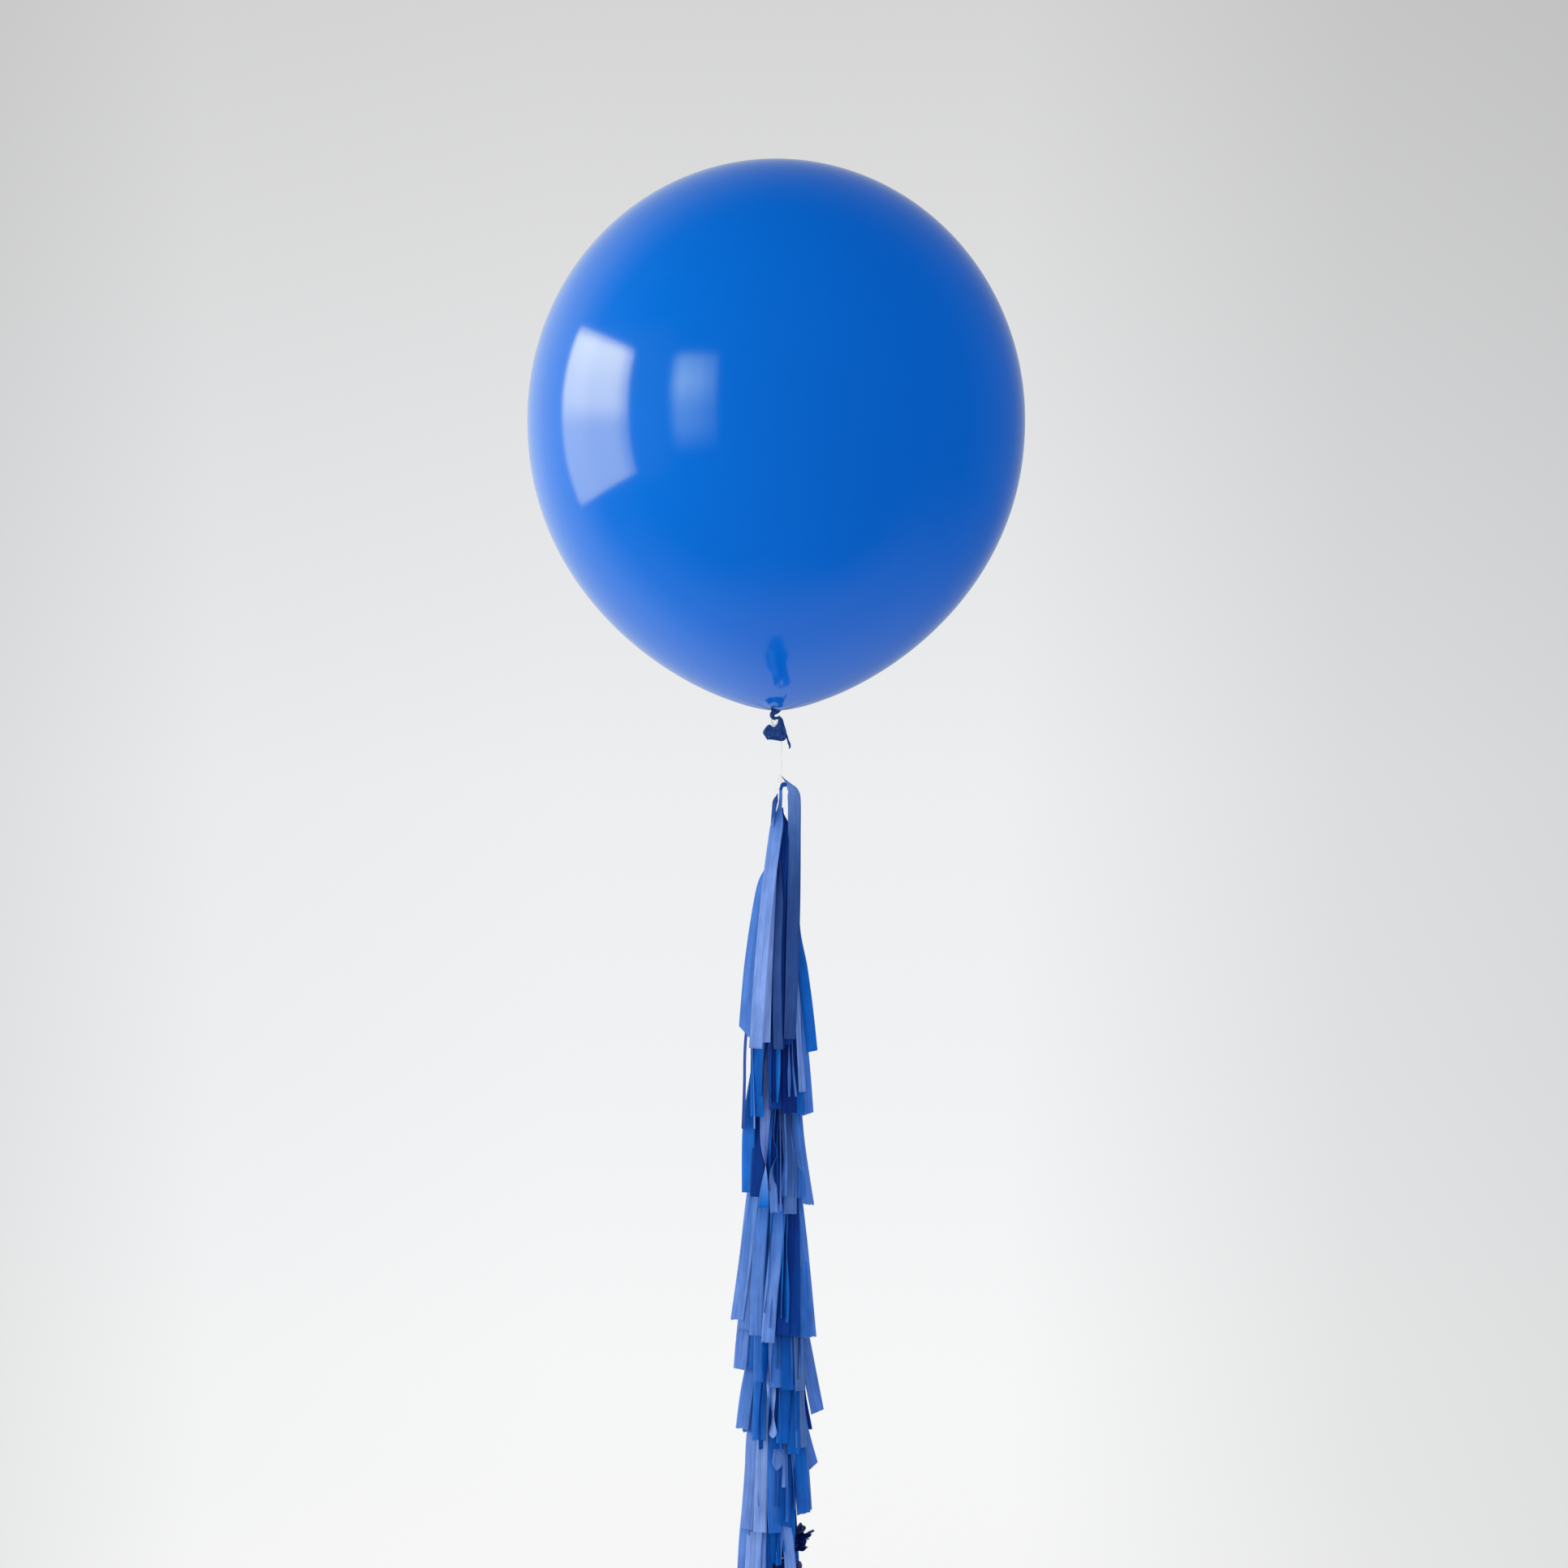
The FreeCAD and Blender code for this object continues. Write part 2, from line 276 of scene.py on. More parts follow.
class Nodes:
    """The node tree of a material, world or light, with short ways to add and join nodes."""

    def __init__(self, owner, output=None):
        owner.use_nodes = True
        self.owner = owner
        self.tree = owner.node_tree
        if output:
            self.tree.nodes.clear()
            self.output = self.add(output)

    def fill(self, socket, value):
        """Gives an input a value, or joins another node's output to it."""
        if hasattr(value, "is_output"):
            self.tree.links.new(value, socket)
        elif isinstance(value, tuple) and socket.type == "RGBA":
            socket.default_value = (*value, 1.0)
        else:
            socket.default_value = value

    def add(self, kind, *inputs, **values):
        """Adds a node; inputs go in order, and values by the name of a property or an input."""
        node = self.tree.nodes.new(kind)
        for socket, value in zip(node.inputs, inputs):
            self.fill(socket, value)
        for key, value in values.items():
            if hasattr(node, key):
                setattr(node, key, value)
            else:
                self.fill(node.inputs[key.replace("_", " ")], value)
        return node

    def place_in(self):
        """Where a point lies in its object."""
        return self.add("ShaderNodeTexCoord").outputs["Object"]

    def attribute(self, name, output="Fac"):
        return self.add("ShaderNodeAttribute", attribute_name=name).outputs[output]

    def noise(self, vector, scale, detail=3.0, roughness=0.5):
        node = self.add("ShaderNodeTexNoise", Vector=vector, Scale=scale, Detail=detail,
                        Roughness=roughness)
        return node.outputs["Fac"]

    def ramp(self, value, stops, interpolation="LINEAR"):
        """A colour ramp; stops are (position, colour), where one number is a grey."""
        node = self.add("ShaderNodeValToRGB", value)
        ramp = node.color_ramp
        ramp.interpolation = interpolation
        while len(ramp.elements) < len(stops):
            ramp.elements.new(0.5)
        for element, (position, colour) in zip(ramp.elements, stops):
            rgb = colour if isinstance(colour, tuple) else (colour, colour, colour)
            element.position = position
            element.color = (*rgb, 1.0)
        return node.outputs["Color"]

    def math(self, operation, *values):
        return self.add("ShaderNodeMath", *values, operation=operation).outputs[0]

    def mix(self, factor, a, b, blend="MIX"):
        node = self.add("ShaderNodeMix", factor, data_type="RGBA", blend_type=blend)
        self.fill(node.inputs[6], a)
        self.fill(node.inputs[7], b)
        return node.outputs[2]

    def times(self, a, b):
        return self.mix(1.0, a, b, "MULTIPLY")

    def bump(self, height, strength, distance):
        node = self.add("ShaderNodeBump", Strength=strength, Distance=distance, Height=height)
        return node.outputs["Normal"]

    def map(self, vector, scale):
        return self.add("ShaderNodeMapping", Vector=vector, Scale=scale).outputs["Vector"]

    def principled(self, **values):
        return self.add("ShaderNodeBsdfPrincipled", **values).outputs[0]

    def surface(self, shader):
        """Ends the tree with a shader, and returns the material or world."""
        self.fill(self.output.inputs["Surface"], shader)
        return self.owner


def material_nodes(name):
    return Nodes(bpy.data.materials.new(name), "ShaderNodeOutputMaterial")


# ---------------------------------------------------------------- materials

LATEX_DEEP = (0.0, 0.014, 0.12)
LAST_TONE = 1.5             # the strips' tones run from 0 to this


def latex_skin():
    """Stretched latex: glossy, even blue, darker where the latex is thick at the neck."""
    n = material_nodes("latex_skin")
    place_in = n.place_in()
    cloud = n.noise(place_in, 3.0, 2.0)
    blue = n.mix(cloud, (0.0, 0.08, 0.41), (0.0, 0.092, 0.46))
    colour = n.mix(n.attribute("tone"), blue, LATEX_DEEP)
    rough = n.math("MULTIPLY_ADD", n.noise(place_in, 9.0, 3.0), 0.08, 0.2)
    fine = n.noise(place_in, 900.0, 2.0)
    return n.surface(n.principled(
        Base_Color=colour, Roughness=rough, IOR=1.45, Specular_IOR_Level=0.0, Coat_Weight=1.0,
        Coat_Roughness=0.1, Coat_IOR=1.48, Normal=n.bump(fine, 0.02, 0.0002),
    ))


def latex_thick():
    """Unstretched latex of the knot and neck: deep navy, matt with fine creases."""
    n = material_nodes("latex_thick")
    crease = n.noise(n.place_in(), 420.0, 5.0, 0.6)
    colour = n.ramp(crease, [(0.32, (0.0, 0.012, 0.1)), (0.72, (0.004, 0.06, 0.28))])
    return n.surface(n.principled(
        Base_Color=colour, Roughness=0.42, IOR=1.45, Specular_IOR_Level=0.25, Coat_Weight=0.1,
        Coat_Roughness=0.25, Normal=n.bump(crease, 0.6, 0.0012),
    ))


def tissue():
    """Tissue paper: fibres run along the strip, light shows through a little, and its colour carries
    painted light and shade.
    """
    n = material_nodes("tissue_paper")
    fibre = n.attribute("fibre", "Vector")
    streak = n.noise(n.map(fibre, (900.0, 26.0, 1.0)), 1.0, 4.0, 0.6)
    cloud = n.noise(n.map(fibre, (60.0, 22.0, 1.0)), 1.0, 2.0)
    crease = n.noise(n.map(fibre, (260.0, 5.0, 1.0)), 1.0, 2.0)
    # The tone ramp paints light and shade: navy stands for strips in shade, light blue for strips facing
    # the light, and the greyer blues from 0.72 up run from shaded to lit.
    colour = n.ramp(n.math("DIVIDE", n.attribute("tone"), LAST_TONE), [
        (0.0, (0.0, 0.02, 0.19)),
        (0.13, (0.001, 0.048, 0.32)),
        (0.3, (0.004, 0.145, 0.62)),
        (0.47, (0.09, 0.23, 0.68)),
        (0.65, (0.25, 0.385, 0.83)),
        (0.72, (0.016, 0.056, 0.25)),
        (0.83, (0.058, 0.145, 0.44)),
        (1.0, (0.15, 0.275, 0.62)),
    ])
    # The crease ramp paints shade along folds that the strips' mesh doesn't have.
    shades = (
        (streak, [(0.25, (0.84, 0.86, 0.88)), (0.75, 1.0)]),
        (cloud, [(0.3, (0.76, 0.8, 0.85)), (0.7, (1.06, 1.04, 1.02))]),
        (crease, [(0.36, (0.74, 0.8, 0.86)), (0.56, 1.0)]),
    )
    for pattern, stops in shades:
        colour = n.times(colour, n.ramp(pattern, stops))
    paper = n.principled(
        Base_Color=colour, Roughness=0.62, IOR=1.4, Specular_IOR_Level=0.12, Sheen_Weight=0.03,
        Sheen_Roughness=0.4, Normal=n.bump(streak, 0.25, 0.0006),
    )
    through = n.add("ShaderNodeBsdfTranslucent", Color=colour).outputs[0]
    return n.surface(n.add("ShaderNodeMixShader", 0.3, paper, through).outputs[0])


def nylon():
    """Clear nylon line, slightly milky."""
    n = material_nodes("nylon")
    milk = n.noise(n.place_in(), 200.0)
    colour = n.ramp(milk, [(0.3, (0.62, 0.64, 0.66)), (0.7, (0.8, 0.81, 0.82))])
    return n.surface(n.principled(
        Base_Color=colour, Roughness=0.18, IOR=1.53, Transmission_Weight=0.45,
    ))


def foil():
    """Dark blue metallised film, crumpled and finely crinkled."""
    n = material_nodes("foil")
    place_in = n.place_in()
    bent = n.noise(place_in, 45.0, 4.0, 0.6)
    crumple = n.add("ShaderNodeTexVoronoi", feature="DISTANCE_TO_EDGE", Scale=75.0, Vector=place_in)
    ridges = n.ramp(crumple.outputs["Distance"], [(0.0, 1.0), (0.3, 0.0)])
    relief = n.mix(0.4, ridges, bent)
    colour = n.ramp(bent, [(0.3, (0.0, 0.008, 0.09)), (0.7, (0.002, 0.03, 0.24))])
    return n.surface(n.principled(
        Base_Color=colour, Metallic=0.3, Roughness=0.36, Specular_IOR_Level=0.3, Coat_Weight=0.25,
        Coat_Roughness=0.2, Normal=n.bump(relief, 0.7, 0.003),
    ))


def cement():
    """The cast core."""
    n = material_nodes("cement")
    grain = n.noise(n.place_in(), 160.0, 6.0, 0.7)
    colour = n.ramp(grain, [(0.3, (0.33, 0.33, 0.32)), (0.7, (0.55, 0.55, 0.53))])
    return n.surface(n.principled(
        Base_Color=colour, Roughness=0.9, Normal=n.bump(grain, 0.5, 0.002),
    ))


SKIN = latex_skin()
THICK = latex_thick()
TISSUE = tissue()
NYLON = nylon()
FOIL = foil()
CEMENT = cement()


# ---------------------------------------------------------------- camera and line

def make_camera():
    """Level, and wide enough to take in the frame's height at the balloon."""
    data = bpy.data.cameras.new("camera")
    data.sensor_width = SENSOR
    data.lens = SENSOR / 2 / (FRAME_HEIGHT / 2 / CAMERA_DISTANCE)
    camera = new_object("camera", data)
    camera.location = (CAMERA_X, -CAMERA_DISTANCE, FLOOR_Z + CAMERA_HEIGHT)
    camera.rotation_euler = (math.radians(90), 0, 0)
    bpy.context.scene.camera = camera


def make_line():
    """The clear line, from the hitch to the weight."""
    curve = bpy.data.curves.new("line", "CURVE")
    curve.dimensions = "3D"
    spline = curve.splines.new("NURBS")
    spline.points.add(len(LINE_ROUTE) - 1)
    for point, place_at in zip(spline.points, LINE_ROUTE):
        point.co = (*place_at, 1.0)
    spline.order_u = 3
    spline.use_endpoint_u = True
    spline.resolution_u = 12
    curve.bevel_depth = LINE_DIAMETER / 2
    curve.bevel_resolution = 3
    curve.use_fill_caps = True
    curve.materials.append(NYLON)
    line = new_object("line", curve)
    place(line, "tail", "tether_line")
    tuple(LINE_ROUTE[0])


make_camera()
make_line()


# ---------------------------------------------------------------- balloon

# Below its widest section the radius shrinks as (1 - share ** power) ** exponent, where share
# is the share of the depth.
LOWER_DEPTH = 0.521
LOWER_POWER = 2.13
LOWER_EXPONENT = 0.65
MOUTH_RADIUS = 0.009
THROAT_RADIUS = 0.0045
FLAP_Z = -0.545             # the height that the flap's outline is laid from
HITCH_RADIUS = 0.0049


def envelope_profile():
    """(radius, height) from the crown to the mouth."""
    profile = []
    upper_steps = 90
    for i in range(1, upper_steps + 1):
        a = math.pi / 2 * (1 - i / upper_steps)
        profile.append((BALLOON_RADIUS * math.cos(a), CROWN_Z * math.sin(a)))
    end = (1 - (MOUTH_RADIUS / BALLOON_RADIUS) ** (1 / LOWER_EXPONENT)) ** (1 / LOWER_POWER)
    lower_steps = 110
    for i in range(1, lower_steps + 1):
        share = end * math.sin(math.pi / 2 * i / lower_steps)
        reach = (1 - share ** LOWER_POWER) ** LOWER_EXPONENT
        profile.append((BALLOON_RADIUS * reach, -LOWER_DEPTH * share))
    profile.append((MOUTH_RADIUS * 0.8, MOUTH_Z + 0.0018))
    profile.append((THROAT_RADIUS, MOUTH_Z))
    return profile


def make_envelope():
    """The balloon's skin, drawn into pleats at the neck, where its colour deepens."""
    around = 256
    profile = envelope_profile()
    verts = [(0.0, 0.0, CROWN_Z)]
    tones = [0.0]
    for radius, z in profile:
        for i in range(around):
            a = turn_of(i, around)
            near = smoothstep(0.09, 0.008, radius)
            pleat = near * (0.05 * math.cos(11 * a + 1.0) + 0.03 * math.cos(17 * a))
            verts.append(polar(radius * (1 + pleat), a, z))
            petal = 0.5 + 0.5 * math.cos(5 * a + 2.2 + 40 * radius)
            reach = 0.02 + 0.03 * petal
            tones.append(0.95 * smoothstep(reach, 0.45 * reach, radius))
    faces = disc_faces(around, len(profile))
    faces.append(tuple(range(len(verts) - around, len(verts))))
    obj = mesh_object("balloon_skin", verts, faces, SKIN)
    obj.data.attributes.new("tone", "FLOAT", "POINT").data.foreach_set("value", tones)
    place(obj, "balloon", "balloon_envelope")


def make_knot():
    """The neck drawn into a hooked roll, then aside to the line."""
    b = Builder()
    neck = (0.0, 0.0, MOUTH_Z)
    hook = [(0.5, 0, 5), (-3, -1, 1.5), (-7, -2.5, -2.5), (-7.4, -3.5, -7), (-4, -4.5, -10.4),
            (1, -5, -10.2), (5.5, -4.5, -9.6), (8, -2.5, -12)]
    radii = [7.5, 5.8, 4.3, 4.0, 3.3, 2.5, 2.4, 3.0]
    b.bend(hook, radii, neck, 70, 28, lobes=6, lobe_depth=0.08)
    stem = [(8, -2.2, -11.5), (9, -0.5, -16), (9, 0, -20), (9, 0, -24)]
    b.bend(stem, [2.8, 3.6, 4.3, 2.6], neck, 24, 24, lobes=7, lobe_depth=0.1)
    place(b.make("knot_roll", THICK), "balloon", "neck_knot")


def make_flap():
    """The flattened mouth end of the neck, puckered, hanging in front of the line."""
    outline = [(-3.5, 16), (-0.5, 11), (2.4, 5.3), (5.4, -1), (7.6, -7.5), (9.6, -15),
               (9.6, -22), (6.5, -27), (1.6, -29.2), (-8.5, -28.2), (-18.5, -26.4),
               (-24.5, -28.3), (-29, -23), (-33.3, -15), (-29.6, -8), (-24.6, -2.3),
               (-20.5, -1), (-16, -4), (-12.2, -5), (-8.6, -1.5), (-6.3, 3), (-6, 8), (-5.2, 13)]
    middle = (-8.0, -14.0)
    count = 120
    loops = 14
    edge = [curve_value(outline + outline[:1], k / count) for k in range(count)]
    base = Vector((LINE_X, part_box("neck_flap")[0].y + 0.0005, FLAP_Z))

    def point(k, ring, side):
        share = ring / loops
        x = middle[0] + (edge[k][0] - middle[0]) * share
        z = middle[1] + (edge[k][1] - middle[1]) * share
        pucker = 2.2 * noise.noise(Vector((x * 0.16, z * 0.11, 3.1)))
        pucker += 1.1 * noise.noise(Vector((x * 0.42, z * 0.3, 8.7)))
        rib = 0.5 * math.sin(x * 1.1 + 0.15 * z) * smoothstep(-2, -26, z)
        half = 0.55 + 0.5 * (1 - share ** 6)
        return base + Vector((x * MM, (pucker + rib + side * half) * MM, z * MM))

    verts = []
    faces = []
    for side in (-1, 1):
        first = len(verts)
        verts.append(tuple(point(0, 0, side)))
        for ring in range(1, loops + 1):
            verts.extend(tuple(point(k, ring, side)) for k in range(count))
        for face in disc_faces(count, loops):
            shifted = tuple(first + corner for corner in face)
            faces.append(shifted if side < 0 else shifted[::-1])
    rim = 1 + (loops - 1) * count
    far = rim + 1 + loops * count
    for k in range(count):
        n = (k + 1) % count
        faces.append((rim + k, far + k, far + n, rim + n))
    place(mesh_object("flap", verts, faces, THICK), "neck_end", "neck_flap")


def make_lip():
    """The rolled rim along the flap's lower edge, with one end hanging free."""
    b = Builder()
    base = (LINE_X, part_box("neck_flap")[0].y + 0.0004, FLAP_Z)
    rim = [(-26, -1.5, -27.5), (-18, -1.8, -26.8), (-8, -1.6, -28.2), (1, -1.4, -29.2),
           (6.5, -0.8, -26.5), (8.6, 0, -20)]
    b.bend(rim, [0.9, 1.5, 1.6, 1.7, 1.6, 0.9], base, 60, 14, lobes=3, lobe_depth=0.06)
    hanging = [(8.2, 0.4, -16), (10.4, 0, -24), (13.2, -0.6, -33), (15.4, -0.4, -39.5),
               (14.2, 0, -44.5)]
    b.bend(hanging, [1.3, 1.7, 2.1, 2.1, 0.8], base, 50, 16, lobes=2, lobe_depth=0.12, squash=0.5)
    place(b.make("lip", THICK), "neck_end", "rolled_lip")


def spiral(radius, start_z, end_z, turns, steps=40):
    """Turns round the line's axis, from one height to another."""
    return [
        polar(radius, turn_of(k, steps), start_z + (end_z - start_z) * k / (turns * steps), LINE_X)
        for k in range(turns * steps + 1)
    ]


def make_hitch():
    """Turns of line round the end of the neck, with slack loops beside it."""
    b = Builder()
    low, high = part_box("line_hitch")
    b.tube(spiral(HITCH_RADIUS, high.z, low.z, 3), LINE_DIAMETER / 2, 8)
    for size, lean, shift in ((1.0, -1.2, 0.0), (0.8, 1.4, 0.8), (1.08, 0.4, -0.7)):
        loop = []
        for k in range(41):
            a = turn_of(k, 40)
            x = -13 + shift - 3.9 * size * math.cos(a) + 1.6 * math.sin(a)
            loop.append((x, -4.5 + lean * math.cos(a), 3.5 - 6.6 * size * math.sin(a)))
        b.tube(in_metres(loop, (LINE_X, 0, FLAP_Z)), 0.0004, 8)
    place(b.make("hitch_turns", NYLON), "balloon", "line_hitch")


def overhand(b, centre, size, thread):
    """A small overhand knot, as a trefoil."""
    points = []
    for k in range(61):
        t = turn_of(k, 60)
        x = math.sin(t) + 2 * math.sin(2 * t)
        y = math.cos(t) - 2 * math.cos(2 * t)
        z = -1.6 * math.sin(3 * t)
        points.append(Vector(centre) + Vector((x, z * 0.8, y)) * (size / 3))
    b.tube(points, thread, 8)


def make_line_knot(name, body, node, size):
    """An overhand knot in the line, in the middle of its CAD node's box."""
    b = Builder()
    overhand(b, box_middle(node), size, LINE_DIAMETER / 2)
    place(b.make(name, NYLON), body, node)


make_envelope()
make_knot()
make_flap()
make_lip()
make_hitch()
make_line_knot("hitch_knot_turns", "hitch", "hitch_knot", 0.0018)
make_line_knot("line_end_knot", "weight", "weight_line_knot", 0.0017)


# ---------------------------------------------------------------- tassels

STRIP_HALF_WIDTH = 12.0     # this and the next three are in millimetres
STRIP_LENGTH = 480.0
CONE_START = 5.0
CONE_SLOPE = 0.14
STEPS_ALONG = 72
BACK_STRIPS = 5
SLIVERS = 5


def cone_radius(drop):
    """Radius of a tassel's cone of strips at a drop below its head, in millimetres."""
    return CONE_START * min(1.0, 0.4 + drop / 60) + CONE_SLOPE * max(0.0, drop - 25)


def strip(b, head, tone, stations, seed, width=1.0, layer=0.0, spread=(0, 120), neck=0.2, cup=0.0,
          cut=0.0, ragged=0.0005, flutter=0.0, rounded=0.0):
    """One strip of tissue.

    stations are (drop, x, turn) in millimetres and degrees below the tassel's head: turn 0
    faces the front and 90 shows the strip edge on.  A fourth number is its place from front to
    back.  Without one it lies on the tassel's cone, layer millimetres further out.  It is
    gathered narrow at the head and opens over the drops called spread.  tone is one number, or
    numbers spaced evenly from its top to its end.  rounded is how much of its end curves in.
    """
    centres = []
    across = []
    normals = []
    halves = []
    tones = []
    length = stations[-1][0]
    for j in range(STEPS_ALONG + 1):
        t = j / STEPS_ALONG
        drop, x, turn, *back = curve_value(stations, t)
        if back:
            depth = -back[0]
        else:
            radius = cone_radius(drop) + layer
            depth = math.sqrt(max(radius * radius - x * x, 0.25 * radius * radius))
        sway = flutter * smoothstep(60, 300, drop)
        x += sway * 3.0 * noise.noise(Vector((drop * 0.012, seed, 1.0)))
        depth += sway * 3.0 * noise.noise(Vector((drop * 0.012, seed, 5.0)))
        turn += sway * 50.0 * noise.noise(Vector((drop * 0.010, seed, 9.0)))
        centres.append(head + Vector((x, -depth, -drop)) * MM)
        a = math.radians(turn)
        across.append(Vector((math.cos(a), math.sin(a), 0.0)))
        opened = neck + (1 - neck) * smoothstep(spread[0], spread[1], drop)
        if rounded:
            opened *= math.sqrt(max(0.02, 1 - smoothstep(length - rounded, length + 0.5, drop) ** 2))
        halves.append(STRIP_HALF_WIDTH * width * opened * MM)
        tones.append(tone if isinstance(tone, (int, float)) else curve_value(tone, t))
    for j in range(STEPS_ALONG + 1):
        down = heading(centres, j)
        across[j] = (across[j] - down * across[j].dot(down)).normalized()
        normals.append(across[j].cross(down))
    b.ribbon(centres, across, normals, halves, tones, cup, cut, ragged, seed)
    b.cut_width += 2 * STRIP_HALF_WIDTH * width * MM


def ring_strip(b, head, azimuth, chance, seed):
    """A strip hanging on the tassel's cone at an azimuth in degrees, 0 to the front."""
    a = math.radians(azimuth)
    length = STRIP_LENGTH - 2 - 8 * chance.randrange(5)
    drift = math.radians(chance.uniform(-10, 10))
    bow = chance.uniform(-2.0, 3.0)
    stations = []
    top = 56
    for k in range(6):
        share = k / 5
        drop = top + (length - top) * share
        radius = max(1.5, cone_radius(drop) - 6 * (1 - share)) + bow * math.sin(math.pi * share)
        angle = a + drift * share
        turn = math.degrees(angle) + chance.uniform(-16, 16) * share
        stations.append((drop, 0.74 * radius * math.sin(angle), turn, -radius * math.cos(angle)))
    strip(b, head, chance.uniform(0.3, 0.75), stations, seed, spread=(top, chance.uniform(150, 220)),
          cup=chance.uniform(-0.16, 0.16), cut=chance.uniform(-0.3, 0.3),
          flutter=chance.uniform(0.3, 1.0))
